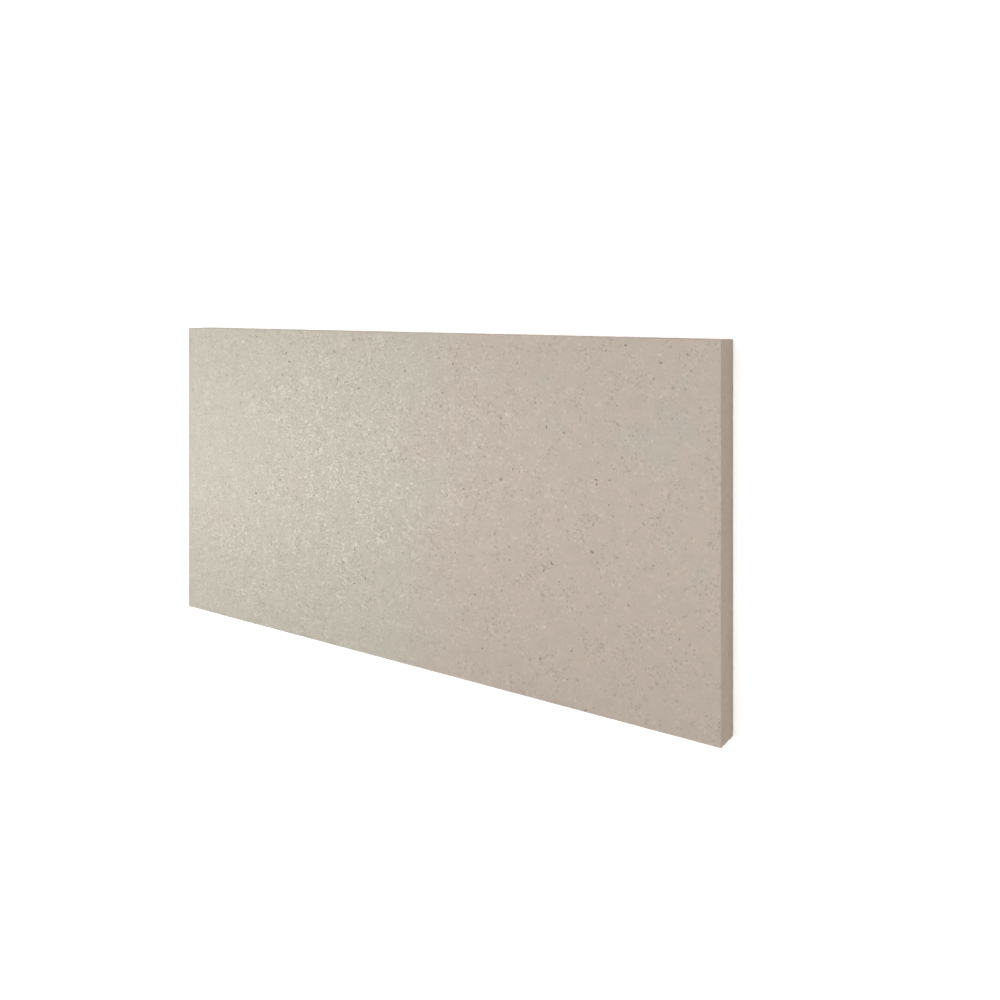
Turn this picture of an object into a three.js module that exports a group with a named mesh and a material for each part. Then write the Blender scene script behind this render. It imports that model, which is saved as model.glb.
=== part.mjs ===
// Vermiculite board: one rectangular slab of pressed, mineral-bound vermiculite, sawn to a stock size.
// It lies on its back face. Units are millimetres and +Z is up.
// The origin is the centre of the back face: +X runs along the length, +Y across the width.
import * as THREE from "three";

// Driving dimensions.
const LENGTH = 600; // sawn length, along X
const WIDTH = 300; // sawn width, along Y
const THICKNESS = 25; // pressed thickness, along Z
const ARRIS = 0.5; // width of the 45 degree break where a face meets a sawn edge
const CORNER_RADIUS = 0.8; // rounding of a face's four corners, inside the arris
const CORNER_FLATS = 4; // flats that stand for each quarter-round corner

// The part's colour and surface: a pale grey-beige mineral face with no gloss.
const PALE_BEIGE = 0xc6bcae;
const MATT_ROUGHNESS = 0.85;

// Outline of a rectangle with rounded corners, centred on the origin and drawn anticlockwise.
function roundedRectangle(length, width, radius) {
  const x = length / 2 - radius;
  const y = width / 2 - radius;
  const quarter = Math.PI / 2;
  const outline = new THREE.Shape();
  outline.absarc(x, -y, radius, -quarter, 0, false);
  outline.absarc(x, y, radius, 0, quarter, false);
  outline.absarc(-x, y, radius, quarter, 2 * quarter, false);
  outline.absarc(-x, -y, radius, 2 * quarter, 3 * quarter, false);
  outline.closePath();
  return outline;
}

// The slab: a flat face's outline, which the arris widens to the sawn size between the two faces.
function slabGeometry() {
  const face = roundedRectangle(LENGTH - 2 * ARRIS, WIDTH - 2 * ARRIS, CORNER_RADIUS);
  const slab = new THREE.ExtrudeGeometry(face, {
    depth: THICKNESS - 2 * ARRIS,
    curveSegments: CORNER_FLATS / 2, // an arc is drawn with two flats to each curve segment
    bevelEnabled: true,
    bevelSegments: 1,
    bevelSize: ARRIS,
    bevelThickness: ARRIS,
  });
  return slab.translate(0, 0, ARRIS);
}

const pressedVermiculite = new THREE.MeshStandardMaterial({
  color: PALE_BEIGE,
  roughness: MATT_ROUGHNESS,
  metalness: 0,
});

const vermiculiteBoard = new THREE.Mesh(slabGeometry(), pressedVermiculite);
vermiculiteBoard.name = "vermiculite_board";

const part = new THREE.Group();
part.add(vermiculiteBoard);

export default part;
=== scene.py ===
import math

import bpy
import numpy as np
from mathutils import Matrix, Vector


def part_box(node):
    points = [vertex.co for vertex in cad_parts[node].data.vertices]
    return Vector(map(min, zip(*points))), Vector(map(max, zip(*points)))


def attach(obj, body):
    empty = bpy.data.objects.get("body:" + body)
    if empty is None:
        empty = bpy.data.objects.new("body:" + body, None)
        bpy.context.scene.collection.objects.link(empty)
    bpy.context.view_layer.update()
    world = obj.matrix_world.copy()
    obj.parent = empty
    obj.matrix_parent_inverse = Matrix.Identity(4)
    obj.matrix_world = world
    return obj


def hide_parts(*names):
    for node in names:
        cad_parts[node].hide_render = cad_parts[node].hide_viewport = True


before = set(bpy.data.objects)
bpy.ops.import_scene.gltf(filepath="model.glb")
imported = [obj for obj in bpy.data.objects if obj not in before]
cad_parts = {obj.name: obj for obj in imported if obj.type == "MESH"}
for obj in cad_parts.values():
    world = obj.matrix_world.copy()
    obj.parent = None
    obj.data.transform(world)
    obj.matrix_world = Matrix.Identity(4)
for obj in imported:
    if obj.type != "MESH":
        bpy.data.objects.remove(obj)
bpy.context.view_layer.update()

# The slab: vermiculite flakes and a mineral binder, pressed hot into one flat slab and sawn to size.
# Its two faces keep the flatness of the press, with shallow hollows where flakes have lifted out.
# Its four edges are sawn, so they show the flakes cut through in thin layers.
BOARD_LOW, BOARD_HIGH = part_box("vermiculite_board")
BOARD_SIZE = BOARD_HIGH - BOARD_LOW
BOARD_CENTRE = (BOARD_LOW + BOARD_HIGH) / 2

FACE_STEP = 0.0022  # rows of the slab's mesh, along the faces
EDGE_STEP = 0.0016  # and through the thickness
ARRIS = 0.0005  # the break that the saw leaves where a face meets an edge
FLAKE_SPAN = 0.0030  # a pressed flake, across
FLAKE_LAYER = 0.0007  # and its thickness, as the sawn edges show it
STROKE_FLATTENING = 0.1  # a saw's stroke runs on through the thickness for ten times its width
SMOOTH_NOISE = (0.3, 0.7)  # nearly all of a smooth noise lies between these


def linear(red, green, blue):
    """A colour written as 0 to 255 on screen, as the light values that shaders use."""
    shares = (value / 255 for value in (red, green, blue))
    return tuple(s / 12.92 if s <= 0.04045 else ((s + 0.055) / 1.055) ** 2.4 for s in shares) + (1.0,)


def add(tree, kind, inputs=(), out=0, **settings):
    """Adds a node, sets or links its inputs, given by place or by name, and returns one output."""
    made = tree.nodes.new(kind)
    for name, value in settings.items():
        setattr(made, name, value)
    for key, value in inputs.items() if isinstance(inputs, dict) else enumerate(inputs):
        if isinstance(value, bpy.types.NodeSocket):
            tree.links.new(value, made.inputs[key])
        elif value is not None:
            made.inputs[key].default_value = value
    return made.outputs[out]


def maths(tree, operation, *values):
    """A Math node on numbers or sockets."""
    return add(tree, "ShaderNodeMath", values, operation=operation)


def vectors(tree, operation, *values):
    """A Vector Math node on vectors or sockets."""
    return add(tree, "ShaderNodeVectorMath", values, operation=operation)


def scaled(tree, vector, size):
    """A vector or a colour times a number."""
    return add(tree, "ShaderNodeVectorMath", {0: vector, "Scale": size}, operation="SCALE")


def part_of(tree, vector, axis):
    """One part of a vector, named X, Y or Z."""
    return add(tree, "ShaderNodeSeparateXYZ", [vector], out=axis)


def between(tree, value, lowest, highest, least=0.0, most=1.0):
    """A value stretched from lowest..highest to least..most, and held there."""
    return add(tree, "ShaderNodeMapRange", [value, lowest, highest, least, most])


def from_to(tree, share, first, last):
    """A value that goes from the first to the last as a share goes from 0 to 1."""
    return between(tree, share, 0.0, 1.0, first, last)


def noise(tree, place, span, detail=2.0, roughness=0.5):
    """Smooth noise from 0 to 1 whose largest lumps are about a span across."""
    inputs = {"Vector": place, "Scale": 1 / span, "Detail": detail, "Roughness": roughness}
    return add(tree, "ShaderNodeTexNoise", inputs)


def swinging(tree, place, span, least, most, **texture):
    """Smooth noise stretched so that it swings between two values."""
    return between(tree, noise(tree, place, span, **texture), *SMOOTH_NOISE, least, most)


def cells(tree, place, span, out="Distance"):
    """Voronoi cells about a span across: the distance to a cell's middle, or its random colour."""
    return add(tree, "ShaderNodeTexVoronoi", {"Vector": place, "Scale": 1 / span}, out=out)


def dimples(tree, place, spacing, floor, rim):
    """Scattered round dimples, 1 inside the floor and 0 past the rim, both shares of the spacing."""
    return between(tree, cells(tree, place, spacing), floor, rim, 1.0, 0.0)


def flake_number(tree, place):
    """A random number from 0 to 1 for each flake, and flakes are flat: wide, but thin through the slab."""
    layered = vectors(tree, "MULTIPLY", place, (1.0, 1.0, FLAKE_SPAN / FLAKE_LAYER))
    return part_of(tree, cells(tree, layered, FLAKE_SPAN, "Color"), "X")


def saw_strokes(tree, place, span, **texture):
    """Noise drawn out through the thickness, so that it runs across an edge as a saw's strokes do."""
    drawn_out = vectors(tree, "MULTIPLY", place, (1.0, 1.0, STROKE_FLATTENING))
    return noise(tree, drawn_out, span, **texture)


def blank_slab():
    """The closed box that the relief is pressed into, with a row of its own beside each arris."""

    def rows(size, step):
        count = round((size - 2 * ARRIS) / step)
        inner = np.linspace(ARRIS - size / 2, size / 2 - ARRIS, count + 1)
        return np.concatenate([[-size / 2], inner, [size / 2]])

    steps = (FACE_STEP, FACE_STEP, EDGE_STEP)
    lines = [rows(size, step) for size, step in zip(BOARD_SIZE, steps)]
    grid = np.stack(np.meshgrid(*lines, indexing="ij"), axis=-1) + np.array(BOARD_CENTRE)
    outside = np.ones(grid.shape[:3], bool)
    outside[1:-1, 1:-1, 1:-1] = False
    number = np.full(grid.shape[:3], -1)
    number[outside] = np.arange(outside.sum())
    quads = []
    for axis in range(3):
        for end in (0, -1):
            side = np.take(number, end, axis)
            corners = np.stack([side[:-1, :-1], side[1:, :-1], side[1:, 1:], side[:-1, 1:]], axis=-1)
            turned = (end == 0) != (axis == 1)
            quads.append(corners.reshape(-1, 4)[:, :: -1 if turned else 1])
    mesh = bpy.data.meshes.new("pressed_slab")
    mesh.from_pydata(grid[outside].tolist(), [], np.concatenate(quads).tolist())
    return mesh


def new_nodes(name, **inputs):
    """A Geometry Nodes tree with these named inputs, and the sockets that give them."""
    tree = bpy.data.node_groups.new(name, "GeometryNodeTree")
    tree.interface.new_socket("geometry", in_out="INPUT", socket_type="NodeSocketGeometry")
    tree.interface.new_socket("geometry", in_out="OUTPUT", socket_type="NodeSocketGeometry")
    for label, kind in inputs.items():
        tree.interface.new_socket(label, in_out="INPUT", socket_type="NodeSocket" + kind)
    return tree, tree.nodes.new("NodeGroupInput").outputs


def end_nodes(tree, geometry, *finishes):
    """Ends a tree: makes any copies real, then gives each finish to the faces that its selection picks."""
    geometry = add(tree, "GeometryNodeRealizeInstances", [geometry])
    for selection, finish in finishes:
        geometry = add(tree, "GeometryNodeSetMaterial", [geometry, selection, finish])
    tree.links.new(geometry, tree.nodes.new("NodeGroupOutput").inputs[0])


def made_by(tree, name, mesh, **values):
    """Runs a tree on a mesh and keeps what it makes, as an object with a plain mesh."""
    piece = bpy.data.objects.new(name, mesh)
    bpy.context.scene.collection.objects.link(piece)
    modifier = piece.modifiers.new(name, "NODES")
    modifier.node_group = tree
    for item in tree.interface.items_tree:
        if item.in_out == "INPUT" and item.name in values:
            modifier[item.identifier] = values[item.name]
    bpy.context.view_layer.update()
    shape = piece.evaluated_get(bpy.context.evaluated_depsgraph_get())
    plain = bpy.data.meshes.new_from_object(shape)
    piece.modifiers.clear()
    piece.data = plain
    return piece


FACE_RELIEF = 0.0003  # depth of a hollow in a pressed face
HOLLOW_SPACING = 0.011
WAVE_SPAN = 0.060  # a slow wave of the press, across
WAVE_DEPTH = 0.4  # as a share of a hollow's depth
FLAKE_DEPTH = 0.25  # how far one flake lies below another, as a share of a hollow's depth
SAW_RELIEF = 0.0002  # depth of a saw's stroke in a sawn edge, and of a flake torn out
STROKE_SPAN = 0.004  # a deep stroke of the saw, across
TORN_FLAKES = (0.75, 1.0)  # flakes whose numbers lie between these are torn out, more and more
CRUMB_SPAN = 0.006  # a stretch of arris that has held or crumbled, along it
CRUMBLED = (0.35, 1.8)  # the arris where it has held best and crumbled most, as shares of its size
SHARP_BEND = math.radians(18)  # a bend in the slab's mesh that is shaded as an edge
LEVEL = 0.7  # a direction with more than this share of Z is a face's, and with less a sawn edge's


def is_sawn(tree):
    """Picks the faces that look sideways, which the saw made."""
    upward = part_of(tree, add(tree, "GeometryNodeInputNormal"), "Z")
    steepness = maths(tree, "ABSOLUTE", upward)
    return add(tree, "FunctionNodeCompare", [steepness, LEVEL], operation="LESS_THAN")


def relief_tree():
    """Rounds the arrises of a closed box and sinks the marks of the press and the saw into it."""
    tree, given = new_nodes(
        "slab relief",
        size="Vector", centre="Vector", arris="Float", face_relief="Float", saw_relief="Float",
        face_finish="Material", edge_finish="Material",
    )
    place = add(tree, "GeometryNodeInputPosition")
    from_centre = vectors(tree, "SUBTRACT", place, given["centre"])
    side = vectors(tree, "SIGN", from_centre)
    reach = vectors(tree, "ABSOLUTE", from_centre)

    # The arris wanders between a third and nearly twice its size, as flakes crumble off it.
    crumble = swinging(tree, place, CRUMB_SPAN, *CRUMBLED, detail=3.0, roughness=0.7)
    radius = maths(tree, "MULTIPLY", crumble, given["arris"])
    core = vectors(tree, "SUBTRACT", scaled(tree, given["size"], 0.5), radius)
    beyond = vectors(tree, "MAXIMUM", vectors(tree, "SUBTRACT", reach, core), (0.0, 0.0, 0.0))
    outward = vectors(tree, "NORMALIZE", beyond)
    rounded = vectors(tree, "ADD", vectors(tree, "MINIMUM", reach, core), scaled(tree, outward, radius))

    # Pressed faces have slow waves, flakes a little lower than others, and a few hollows.
    flake = flake_number(tree, place)
    waves = maths(tree, "MULTIPLY", noise(tree, place, WAVE_SPAN), WAVE_DEPTH)
    levels = maths(tree, "MULTIPLY", flake, FLAKE_DEPTH)
    hollows = dimples(tree, place, HOLLOW_SPACING, floor=0.08, rim=0.22)
    face_depth = maths(tree, "ADD", maths(tree, "ADD", waves, levels), hollows)
    face_depth = maths(tree, "MULTIPLY", face_depth, given["face_relief"])

    # Sawn edges have the saw's strokes across them, and thin flakes torn out.
    strokes = saw_strokes(tree, place, STROKE_SPAN, detail=3.0, roughness=0.6)
    torn = between(tree, flake, *TORN_FLAKES)
    edge_depth = maths(tree, "MULTIPLY", maths(tree, "ADD", strokes, torn), given["saw_relief"])

    pressed = maths(tree, "GREATER_THAN", part_of(tree, outward, "Z"), LEVEL)
    depth = add(tree, "ShaderNodeMix", [pressed, None, edge_depth, face_depth])
    sunk = vectors(tree, "SUBTRACT", rounded, scaled(tree, outward, depth))
    position = vectors(tree, "ADD", vectors(tree, "MULTIPLY", sunk, side), given["centre"])
    slab = add(tree, "GeometryNodeSetPosition", {"Geometry": given["geometry"], "Position": position})

    angle = add(tree, "GeometryNodeInputMeshEdgeAngle")
    keen = add(tree, "FunctionNodeCompare", [angle, SHARP_BEND], operation="GREATER_THAN")
    slab = add(tree, "GeometryNodeSetShadeSmooth", [slab, None, True])
    slab = add(tree, "GeometryNodeSetShadeSmooth", [slab, keen, False], domain="EDGE")
    end_nodes(tree, slab, (None, given["face_finish"]), (is_sawn(tree), given["edge_finish"]))
    return tree


def new_finish(name):
    """A material, its nodes, its Principled shader and the Object coordinates that patterns read."""
    material = bpy.data.materials.new(name)
    material.use_nodes = True
    tree = material.node_tree
    return material, tree, tree.nodes["Principled BSDF"], add(tree, "ShaderNodeTexCoord", out="Object")


def blended(tree, share, first, second):
    """A colour that goes from the first to the second as the share goes from 0 to 1."""
    colours = {0: share, 6: first, 7: second}
    return add(tree, "ShaderNodeMix", colours, out=2, data_type="RGBA")


STRAW_BEIGE = (181, 174, 159)
PINKISH_BEIGE = (183, 169, 156)
GREENISH_BEIGE = (179, 171, 158)
TINT_PATCH = 0.055  # a patch of one tint, across
PINKER_ALONG = (-0.02, 0.12)  # the stretch of X over which the tints change; the straw left end is partly painted sheen
PINKER_SHIFT = 0.27  # how far that moves the patches from straw to pinkish
PINKISH_PATCHES = (0.35, 0.65)  # a patch's number where pinkish starts and where it is full
GREENISH_PATCHES = (0.37, 0.30)  # and where greenish starts and is full
GREENISH_SHARES = (0.2, 0.8)  # how strong greenish is at each end of PINKER_ALONG
MOTTLE_SPAN = 0.012  # a small paler or darker patch, across
MOTTLE_SHADES = (0.97, 1.03)  # shades are shares of the board's colour, with its painted sheen drift


def board_colour_and_sheen(tree, place):
    """The board's tint with greenish patches, drifting from straw to pinkish towards +X: that cooler left
    end is partly painted sheen.
    """
    # Partly painted sheen: the left end, where the sheen falls, is kept a cooler straw and the right end
    # turns pinker.
    along = between(tree, part_of(tree, place, "X"), *PINKER_ALONG)
    patch = noise(tree, place, TINT_PATCH, detail=3.0, roughness=0.55)
    warmth = maths(tree, "ADD", patch, from_to(tree, along, -PINKER_SHIFT, PINKER_SHIFT))
    pinkish = between(tree, warmth, *PINKISH_PATCHES)
    tint = blended(tree, pinkish, linear(*STRAW_BEIGE), linear(*PINKISH_BEIGE))
    greenish = between(tree, patch, *GREENISH_PATCHES)
    greenish = maths(tree, "MULTIPLY", greenish, from_to(tree, along, *GREENISH_SHARES))
    tint = blended(tree, greenish, tint, linear(*GREENISH_BEIGE))
    return scaled(tree, tint, swinging(tree, place, MOTTLE_SPAN, *MOTTLE_SHADES))


CROWD = 0.022  # a stretch where flakes and pinholes lie closer together, across


def crowding(tree, place, least, most):
    """A number that rises where flakes and pinholes lie closer together."""
    return swinging(tree, place, CROWD, least, most)


def standing_out(tree, place, span, part, crowded, numbers):
    """1 in the random cells that stand out, of which there are more where flakes crowd, and 0 in others."""
    number = part_of(tree, cells(tree, place, span, "Color"), part)
    number = maths(tree, "ADD", number, crowding(tree, place, -crowded, crowded))
    return between(tree, number, *numbers)


FINE_RELIEF = 0.00010  # how far the finest grains stand proud
FACET_SPAN = 0.0021  # a flake's flat top, across
FACET_LEAN = 3.2  # its tilt, as fine relief from one side of it to the other


def facets(tree, place):
    """The height of a mosaic of flat flake tops, each tilted its own way."""
    centre = cells(tree, place, FACET_SPAN, "Position")
    lean = vectors(tree, "SUBTRACT", cells(tree, place, FACET_SPAN, "Color"), (0.5, 0.5, 0.5))
    offset = vectors(tree, "SUBTRACT", place, centre)
    height = add(tree, "ShaderNodeVectorMath", [lean, offset], out="Value", operation="DOT_PRODUCT")
    return maths(tree, "MULTIPLY", height, FACET_LEAN / FACET_SPAN)


def bumped(tree, shader, height):
    """Gives a shader fine relief too small for the mesh: a height of 1 stands FINE_RELIEF proud."""
    bump = add(tree, "ShaderNodeBump", {"Distance": FINE_RELIEF, "Height": height})
    tree.links.new(bump, shader.inputs["Normal"])


FLECK_SPAN = 0.0017  # a small dark fleck, across
PINHOLE_SPACING = 0.0042
GRAIN_SPAN = 0.0014
CROWDED_FLAKES = 0.16  # how far crowding moves the number of a flake or a fleck
CROWDED_PINHOLES = 0.3  # and of a pinhole
PALE_FLAKES = (0.82, 0.92)  # flakes whose numbers lie between these stand out, more and more, as pale
DARK_FLECKS = (0.92, 0.98)  # and flecks as dark
OPEN_PINHOLES = (0.55, 1.0)  # and pinholes as open

FLAKE_SHADES = (0.985, 1.015)
GRAIN_SHADES = (0.975, 1.025)
PALE_FLAKE_SHADE = 1.08
DARK_FLECK_SHADE = 0.84
# painted shade: how much of the colour is left inside a pinhole, where shade would fall
PINHOLE_PAINTED_SHADE = 0.6
GRAIN_ROUGHNESS = (0.48, 0.40)
PALE_FLAKE_SHINE = 0.11  # how much less rough a pale flake is
GRAIN_HEIGHT = 0.5  # as a share of the fine relief
PINHOLE_DEPTH = 2.0  # as a share of the fine relief


def pressed_face_finish():
    """Small flakes in a matt binder: a mosaic of near tones with a few pinholes, darkened with painted
    shade.
    """
    material, tree, shader, place = new_finish("pressed_face")
    grain = swinging(tree, place, GRAIN_SPAN, 0.0, 1.0, detail=4.0, roughness=0.7)
    hole = dimples(tree, place, PINHOLE_SPACING, floor=0.09, rim=0.17)
    is_open = standing_out(tree, place, PINHOLE_SPACING, "Y", CROWDED_PINHOLES, OPEN_PINHOLES)
    hole = maths(tree, "MULTIPLY", hole, is_open)
    pale = standing_out(tree, place, FACET_SPAN, "X", CROWDED_FLAKES, PALE_FLAKES)
    dark = standing_out(tree, place, FLECK_SPAN, "X", CROWDED_FLAKES, DARK_FLECKS)

    shade = from_to(tree, flake_number(tree, place), *FLAKE_SHADES)
    for share, shades in (
        (grain, GRAIN_SHADES),
        # pinholes are painted darker inside, as painted shade
        (hole, (1.0, PINHOLE_PAINTED_SHADE)),
        (pale, (1.0, PALE_FLAKE_SHADE)),
        (dark, (1.0, DARK_FLECK_SHADE)),
    ):
        shade = maths(tree, "MULTIPLY", shade, from_to(tree, share, *shades))
    tree.links.new(scaled(tree, board_colour_and_sheen(tree, place), shade), shader.inputs["Base Color"])

    roughness = from_to(tree, grain, *GRAIN_ROUGHNESS)
    roughness = maths(tree, "SUBTRACT", roughness, maths(tree, "MULTIPLY", pale, PALE_FLAKE_SHINE))
    tree.links.new(roughness, shader.inputs["Roughness"])
    height = maths(tree, "ADD", facets(tree, place), maths(tree, "MULTIPLY", grain, GRAIN_HEIGHT))
    bumped(tree, shader, maths(tree, "SUBTRACT", height, maths(tree, "MULTIPLY", hole, PINHOLE_DEPTH)))
    return material


SAWN_TINT_AND_SHADE = (0.94, 0.91, 0.87)  # how much of each colour a sawn edge gives back, beside a pressed face: partly the cut flakes' browner colour and partly painted shade on the sideways edges
# the sawn flakes' tones, darker than the face's: partly their own colour and partly painted shade
SAWN_SHADES = (0.91, 0.97)
SAWN_ROUGHNESS = 0.8
FINE_STROKE_SPAN = 0.003  # a fine stroke of the saw, across
DARK_STROKES = (0.62, 0.72)  # strokes whose numbers lie between these are darker and darker
DARK_STROKE_SHADE = 0.85


def sawn_edge_finish():
    """The same flakes cut through: thin darker and paler layers, crossed by the saw's strokes, painted
    darker and browner than the face, partly as painted shade.
    """
    material, tree, shader, place = new_finish("sawn_edge")
    flake = flake_number(tree, place)
    strokes = saw_strokes(tree, place, FINE_STROKE_SPAN, detail=4.0, roughness=0.7)
    stroke_shade = between(tree, strokes, *DARK_STROKES, 1.0, DARK_STROKE_SHADE)
    shade = maths(tree, "MULTIPLY", from_to(tree, flake, *SAWN_SHADES), stroke_shade)
    colour = vectors(tree, "MULTIPLY", scaled(tree, board_colour_and_sheen(tree, place), shade), SAWN_TINT_AND_SHADE)
    tree.links.new(colour, shader.inputs["Base Color"])
    shader.inputs["Roughness"].default_value = SAWN_ROUGHNESS
    bumped(tree, shader, maths(tree, "ADD", flake, strokes))
    return material


def fitted(piece):
    """Makes a finished piece move with the board."""
    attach(piece, "root")


slab = made_by(
    relief_tree(), "pressed_slab", blank_slab(),
    size=BOARD_SIZE, centre=BOARD_CENTRE, arris=ARRIS, face_relief=FACE_RELIEF, saw_relief=SAW_RELIEF,
    face_finish=pressed_face_finish(), edge_finish=sawn_edge_finish(),
)
fitted(slab)
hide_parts("vermiculite_board")

# The face flakes: the larger flakes, which the press has laid flat in each face and tilted a little.
# Most have the binder's tone. Some are pale and shine like mica, and a few are brown.
CHIP_RADIUS = 0.0011
CHIP_SPANS = (0.5, 1.6)  # the smallest and the largest chip, as shares of CHIP_RADIUS
CHIP_WIDTHS = (0.4, 0.95)  # a chip's width, as a share of its length
CHIP_SIDES = (5, 6, 5, 6)  # of the chips that the others are copied from
CHIP_UNEVENNESS = 0.3  # how far a corner strays, as a share of the radius
CHIP_KEEL = 0.0006  # how far a chip reaches down into the slab
CHIP_TILT = math.radians(9)
CHIP_SINK = 0.00016
CHIP_SINKS = (0.2, 1.0)  # the shallowest and the deepest chip, as shares of CHIP_SINK
CHIPS_PER_SQUARE_METRE = 85_000
CHIP_CROWDING = (0.2, 1.8)  # shares of that number where chips are sparse and where they crowd
CROWDING_GRID = (61, 31)  # points along and across a face that carry how closely its chips lie

PALE_FLAKE = (208, 200, 186)
BROWN_FLAKE = (118, 103, 90)
FULL_TINT = 0.9  # how far the palest and the brownest chips go towards those colours
BROWN_CHIPS = (0.0, 0.08)  # chips whose tones lie between these are less and less brown
PALE_CHIPS = (0.72, 1.0)  # and these are more and more pale
PLAIN_CHIPS = (0.1, 0.8)  # and these go through the plain shades
PLAIN_SHADES = (0.95, 1.05)
SHINY_CHIPS = (0.3, 1.0)  # chips whose tones lie between these are less and less rough
CHIP_ROUGHNESS = (0.48, 0.22)
CHIP_GRAIN = 0.0012


def drawn(tree, given, draw, lowest, highest):
    """A numbered draw: a random number for each point, or a random vector where the limits are vectors."""
    seed = maths(tree, "ADD", given["seed"], draw)
    if isinstance(lowest, tuple):
        limits = {0: lowest, 1: highest, "Seed": seed}
        return add(tree, "FunctionNodeRandomValue", limits, data_type="FLOAT_VECTOR")
    return add(tree, "FunctionNodeRandomValue", {2: lowest, 3: highest, "Seed": seed}, out=1)


def chip_shapes(tree):
    """Chips of five and six sides with uneven outlines: a flat top over a keel that stays in the slab."""
    shapes = tree.nodes.new("GeometryNodeGeometryToInstance")
    stray = CHIP_UNEVENNESS
    for seed, sides in enumerate(CHIP_SIDES):
        cone = {"Vertices": sides, "Radius Top": 0.0, "Radius Bottom": 1.0, "Depth": 1.0}
        chip = add(tree, "GeometryNodeMeshCone", cone)
        limits = {0: (-stray, -stray, 0.0), 1: (stray, stray, 0.0), "Seed": seed}
        uneven = add(tree, "FunctionNodeRandomValue", limits, data_type="FLOAT_VECTOR")
        chip = add(tree, "GeometryNodeSetPosition", {"Geometry": chip, "Offset": uneven})
        chip = add(tree, "GeometryNodeTransform", {"Geometry": chip, "Rotation": (math.pi, 0.0, 0.0)})
        tree.links.new(chip, shapes.inputs[0])
    return shapes.outputs[0]


def chips_on(tree, given, points, rotation, scale):
    """Puts a chip on each point, with a random tone, and makes the chips real."""
    tone = {"Geometry": points, "Name": "tone", "Value": drawn(tree, given, 1, 0.0, 1.0)}
    toned = add(tree, "GeometryNodeStoreNamedAttribute", tone)
    chips = add(tree, "GeometryNodeInstanceOnPoints", {
        "Points": toned, "Instance": chip_shapes(tree), "Pick Instance": True,
        "Rotation": rotation, "Scale": scale,
    })
    return add(tree, "GeometryNodeRealizeInstances", [chips])


def trimmed(tree, chips, lowest, highest):
    """Flattens whatever stands outside a box, as the press and the saw do."""
    place = add(tree, "GeometryNodeInputPosition")
    kept = vectors(tree, "MAXIMUM", vectors(tree, "MINIMUM", place, highest), lowest)
    return add(tree, "GeometryNodeSetPosition", {"Geometry": chips, "Position": kept})


def face_flake_tree():
    """Scatters chips over one face of a slab centred on the origin, then puts the face in its place."""
    tree, given = new_nodes(
        "face flakes",
        size="Vector", place="Vector", turn="Vector", radius="Float", keel="Float", tilt="Float",
        sink="Float", density="Float", seed="Int", finish="Material",
    )
    length = part_of(tree, given["size"], "X")
    width = part_of(tree, given["size"], "Y")
    face = add(tree, "GeometryNodeMeshGrid", [length, width, *CROWDING_GRID])
    crowd = crowding(tree, add(tree, "GeometryNodeInputPosition"), *CHIP_CROWDING)
    density = maths(tree, "MULTIPLY", crowd, given["density"])
    spread = {"Mesh": face, "Density": density, "Seed": given["seed"]}
    points = add(tree, "GeometryNodeDistributePointsOnFaces", spread)
    sink = maths(tree, "MULTIPLY", drawn(tree, given, 2, *CHIP_SINKS), given["sink"])
    down = add(tree, "ShaderNodeCombineXYZ", {"Z": maths(tree, "MULTIPLY", sink, -1.0)})
    points = add(tree, "GeometryNodeSetPosition", {"Geometry": points, "Offset": down})

    lean = scaled(tree, drawn(tree, given, 3, (-1.0, -1.0, 0.0), (1.0, 1.0, 0.0)), given["tilt"])
    spin = drawn(tree, given, 4, (0.0, 0.0, 0.0), (0.0, 0.0, 2 * math.pi))
    rotation = add(tree, "FunctionNodeEulerToRotation", [vectors(tree, "ADD", lean, spin)])
    span = drawn(tree, given, 5, 0.0, 1.0)
    span = from_to(tree, maths(tree, "MULTIPLY", span, span), *CHIP_SPANS)
    along = maths(tree, "MULTIPLY", span, given["radius"])
    across = maths(tree, "MULTIPLY", along, drawn(tree, given, 6, *CHIP_WIDTHS))
    scale = add(tree, "ShaderNodeCombineXYZ", [along, across, given["keel"]])
    chips = chips_on(tree, given, points, rotation, scale)

    half = scaled(tree, given["size"], 0.5)
    highest = vectors(tree, "MULTIPLY", half, (1.0, 1.0, 0.0))
    chips = trimmed(tree, chips, scaled(tree, half, -1.0), highest)
    turned = {"Geometry": chips, "Translation": given["place"], "Rotation": given["turn"]}
    chips = add(tree, "GeometryNodeTransform", turned)
    end_nodes(tree, chips, (None, given["finish"]))
    return tree


def flake_finish(name, tint):
    """Each chip's tone picks its colour: brown, near the binder's, or pale and shiny like mica."""
    material, tree, shader, place = new_finish(name)
    tone = add(tree, "ShaderNodeAttribute", out="Fac", attribute_name="tone")
    shade = between(tree, tone, *PLAIN_CHIPS, *PLAIN_SHADES)
    colour = scaled(tree, board_colour_and_sheen(tree, place), shade)
    brown = between(tree, tone, *BROWN_CHIPS, FULL_TINT, 0.0)
    colour = blended(tree, brown, colour, linear(*BROWN_FLAKE))
    pale = between(tree, tone, *PALE_CHIPS, 0.0, FULL_TINT)
    colour = blended(tree, pale, colour, linear(*PALE_FLAKE))
    tree.links.new(vectors(tree, "MULTIPLY", colour, tint), shader.inputs["Base Color"])
    tree.links.new(between(tree, tone, *SHINY_CHIPS, *CHIP_ROUGHNESS), shader.inputs["Roughness"])
    bumped(tree, shader, noise(tree, place, CHIP_GRAIN, detail=3.0, roughness=0.6))
    return material


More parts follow.
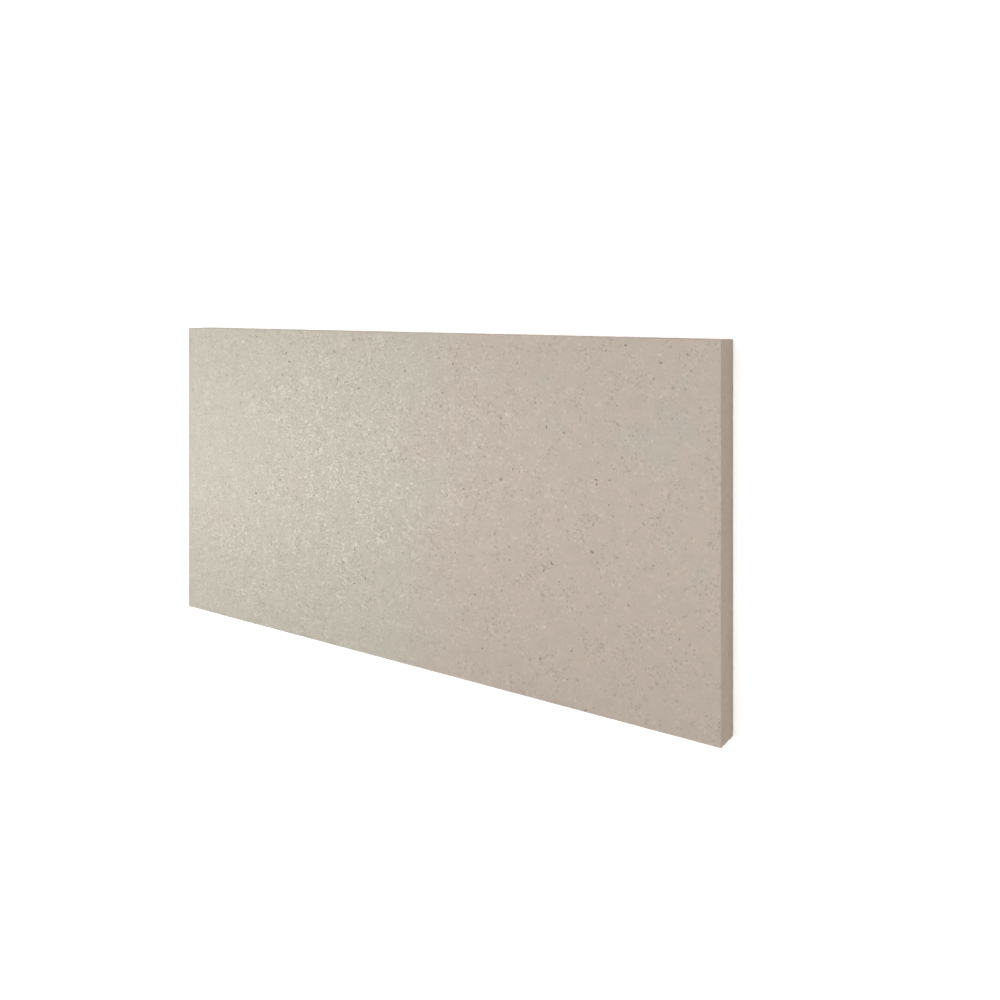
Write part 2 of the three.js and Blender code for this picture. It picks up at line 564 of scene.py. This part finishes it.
loose_flake = flake_finish("loose_flake", (1.0, 1.0, 1.0))
face_flakes = face_flake_tree()
face_size = BOARD_SIZE - Vector((2 * ARRIS, 2 * ARRIS, 0.0))
front_place = Vector((0.0, 0.0, BOARD_HIGH.z))
back_place = Vector((0.0, 0.0, BOARD_LOW.z))
for name, place, turn, seed in (
    ("front_flakes", front_place, Vector((0.0, 0.0, 0.0)), 10),
    ("back_flakes", back_place, Vector((math.pi, 0.0, 0.0)), 20),
):
    flakes = made_by(
        face_flakes, name, bpy.data.meshes.new(name),
        size=face_size, place=place, turn=turn, radius=CHIP_RADIUS, keel=CHIP_KEEL, tilt=CHIP_TILT,
        sink=CHIP_SINK, density=CHIPS_PER_SQUARE_METRE, seed=seed, finish=loose_flake,
    )
    fitted(flakes)

# The edge slivers: the same flakes where the saw has cut them through, seen edge-on.
# They are thin, lie parallel to the faces, and are flush with the sawn edge or just sunk in it.
SLIVER_LENGTH = 0.0013  # half of a sliver's length, along the edge
SLIVER_LENGTHS = (0.35, 1.6)  # the shortest and the longest sliver, as shares of SLIVER_LENGTH
SLIVER_THICKNESSES = (0.3, 0.7)  # half a sliver's thickness, as a share of FLAKE_LAYER
SLIVER_SINK = 0.00012
SLIVER_SINKS = (-1.0, -0.2)  # the deepest and the shallowest sliver, outwards, as shares of SLIVER_SINK
SLIVERS_PER_SQUARE_METRE = 90_000
SLIVER_MARGINS = 4 * ARRIS  # what slivers leave free of the thickness, at both faces together
SLIVER_SHADE = 0.96  # as a share of the sawn edge's tint and painted shade


def edge_sliver_tree():
    """Scatters slivers over the four edges of a slab, with their length along the edge."""
    tree, given = new_nodes(
        "edge slivers",
        size="Vector", centre="Vector", margins="Float", length="Float", thickness="Float",
        keel="Float", sink="Float", tilt="Float", density="Float", seed="Int", finish="Material",
    )
    margins = add(tree, "ShaderNodeCombineXYZ", {"Z": given["margins"]})
    box = add(tree, "GeometryNodeMeshCube", [vectors(tree, "SUBTRACT", given["size"], margins)])
    box = add(tree, "GeometryNodeTransform", {"Geometry": box, "Translation": given["centre"]})
    spread = {"Mesh": box, "Selection": is_sawn(tree), "Density": given["density"], "Seed": given["seed"]}
    points = add(tree, "GeometryNodeDistributePointsOnFaces", spread)
    outward = points.node.outputs["Normal"]
    sink = maths(tree, "MULTIPLY", drawn(tree, given, 2, *SLIVER_SINKS), given["sink"])
    sunk = {"Geometry": points, "Offset": scaled(tree, outward, sink)}
    points = add(tree, "GeometryNodeSetPosition", sunk)

    edgewise = vectors(tree, "CROSS_PRODUCT", (0.0, 0.0, 1.0), outward)
    axes = {"primary_axis": "Z", "secondary_axis": "X"}
    facing = add(tree, "FunctionNodeAxesToRotation", [outward, edgewise], **axes)
    lean = scaled(tree, drawn(tree, given, 3, (-1.0, -1.0, -1.0), (1.0, 1.0, 1.0)), given["tilt"])
    tilt = add(tree, "FunctionNodeEulerToRotation", [lean])
    rotation = add(tree, "FunctionNodeRotateRotation", [facing, tilt], rotation_space="LOCAL")
    along = maths(tree, "MULTIPLY", drawn(tree, given, 5, *SLIVER_LENGTHS), given["length"])
    across = maths(tree, "MULTIPLY", drawn(tree, given, 6, *SLIVER_THICKNESSES), given["thickness"])
    scale = add(tree, "ShaderNodeCombineXYZ", [along, across, given["keel"]])
    chips = chips_on(tree, given, points, rotation, scale)

    half = scaled(tree, given["size"], 0.5)
    lowest = vectors(tree, "SUBTRACT", given["centre"], half)
    chips = trimmed(tree, chips, lowest, vectors(tree, "ADD", given["centre"], half))
    end_nodes(tree, chips, (None, given["finish"]))
    return tree


# The slivers carry the sawn edge's tint and its painted shade too.
slivers = made_by(
    edge_sliver_tree(), "edge_slivers", bpy.data.meshes.new("edge_slivers"),
    size=BOARD_SIZE, centre=BOARD_CENTRE, margins=SLIVER_MARGINS, length=SLIVER_LENGTH,
    thickness=FLAKE_LAYER, keel=CHIP_KEEL, sink=SLIVER_SINK, tilt=CHIP_TILT,
    density=SLIVERS_PER_SQUARE_METRE, seed=30,
    finish=flake_finish("cut_flake", tuple(SLIVER_SHADE * share for share in SAWN_TINT_AND_SHADE)),
)
fitted(slivers)

# The studio: a plain pale floor, an even pale surround and four soft lights.
# A broad light overhead reaches the whole floor, a long strip hangs over the board's middle, one box
# stands behind its left half, and one is off the left end, where its sheen on the face shows.
WHITE = (1.0, 1.0, 1.0, 1.0)
FLOOR_REACH = 20.0  # from the origin to each side of the floor
FLOOR_WHITE = (0.98, 0.98, 0.98, 1.0)
FLOOR_GLOW = 0.33  # the floor is lit from below, so that shadows on it stay faint
SURROUND = 0.50  # what the surround gives to surfaces
BACKDROP = 1.0  # and how bright it looks, which is as bright as the floor

STRIP_LIGHT_PLACE = (0.0, 0.0, 1.30)
FAR_LIGHT_PLACE = (-0.5, 0.9, 0.9)
LEFT_LIGHT_PLACE = (-2.60, -0.46, 2.10)
STRAIGHT_DOWN = (0.0, 0.0, 0.0)
OVERHEAD_TURN = (math.radians(-15), math.radians(-2), 0.0)

floor_mesh = bpy.data.meshes.new("floor")
sides = ((-1, -1), (1, -1), (1, 1), (-1, 1))
floor_mesh.from_pydata([(x * FLOOR_REACH, y * FLOOR_REACH, 0.0) for x, y in sides], [], [(0, 1, 2, 3)])
floor = bpy.data.objects.new("floor", floor_mesh)
bpy.context.scene.collection.objects.link(floor)
floor_finish, _, floor_shader, _ = new_finish("floor_paint")
floor_shader.inputs["Base Color"].default_value = FLOOR_WHITE
floor_shader.inputs["Roughness"].default_value = 1.0
floor_shader.inputs["Specular IOR Level"].default_value = 0.0
floor_shader.inputs["Emission Color"].default_value = WHITE
floor_shader.inputs["Emission Strength"].default_value = FLOOR_GLOW
floor_mesh.materials.append(floor_finish)

world = bpy.data.worlds.new("surround")
world.use_nodes = True
backdrop = world.node_tree.nodes["Background"]
backdrop.inputs["Color"].default_value = WHITE
seen = add(world.node_tree, "ShaderNodeLightPath", out="Is Camera Ray")
brightness = from_to(world.node_tree, seen, SURROUND, BACKDROP)
world.node_tree.links.new(brightness, backdrop.inputs["Strength"])
bpy.context.scene.world = world


def hung(name, kind, turn, place=(0.0, 0.0, 0.0), **settings):
    """Hangs a light at a place, turned that way, with these settings of the lamp's own."""
    lamp = bpy.data.lights.new(name, kind)
    for setting, value in settings.items():
        setattr(lamp, setting, value)
    light = bpy.data.objects.new(name, lamp)
    bpy.context.scene.collection.objects.link(light)
    light.location = place
    light.rotation_euler = turn


def facing_board(place):
    """The turn of a light that looks at the board from a place."""
    return (BOARD_CENTRE - Vector(place)).to_track_quat("-Z", "Y").to_euler()


hung("overhead_light", "SUN", OVERHEAD_TURN, energy=0.82, angle=math.radians(60))
hung(
    "far_light", "AREA", facing_board(FAR_LIGHT_PLACE), FAR_LIGHT_PLACE,
    shape="SQUARE", size=0.6, energy=3.0,
)
hung(
    "strip_light", "AREA", STRAIGHT_DOWN, STRIP_LIGHT_PLACE,
    shape="RECTANGLE", size=1.6, size_y=0.1, spread=math.radians(24), energy=0.16,
)
hung(
    "left_light", "AREA", facing_board(LEFT_LIGHT_PLACE), LEFT_LIGHT_PLACE,
    shape="SQUARE", size=0.75, energy=29.0,
)

# The camera looks down on the face as the photograph looks at it: a 35 mm lens towards the left end,
# with the film shifted so that the board's short sides stay parallel.
CAMERA_PLACE = (0.5625, 0.1782, 0.7079)
CAMERA_TURN = math.radians(33.85)
LENS = 35.0  # in millimetres
FILM_SHIFT = -0.1984  # as a share of the frame's side
NEAREST_SEEN = 0.01

camera = bpy.data.objects.new("camera", bpy.data.cameras.new("camera"))
bpy.context.scene.collection.objects.link(camera)
camera.location = CAMERA_PLACE
camera.rotation_euler = (0.0, CAMERA_TURN, 0.0)
camera.data.lens = LENS
camera.data.shift_y = FILM_SHIFT
camera.data.clip_start = NEAREST_SEEN
bpy.context.scene.camera = camera
bpy.context.scene.view_settings.view_transform = "Standard"
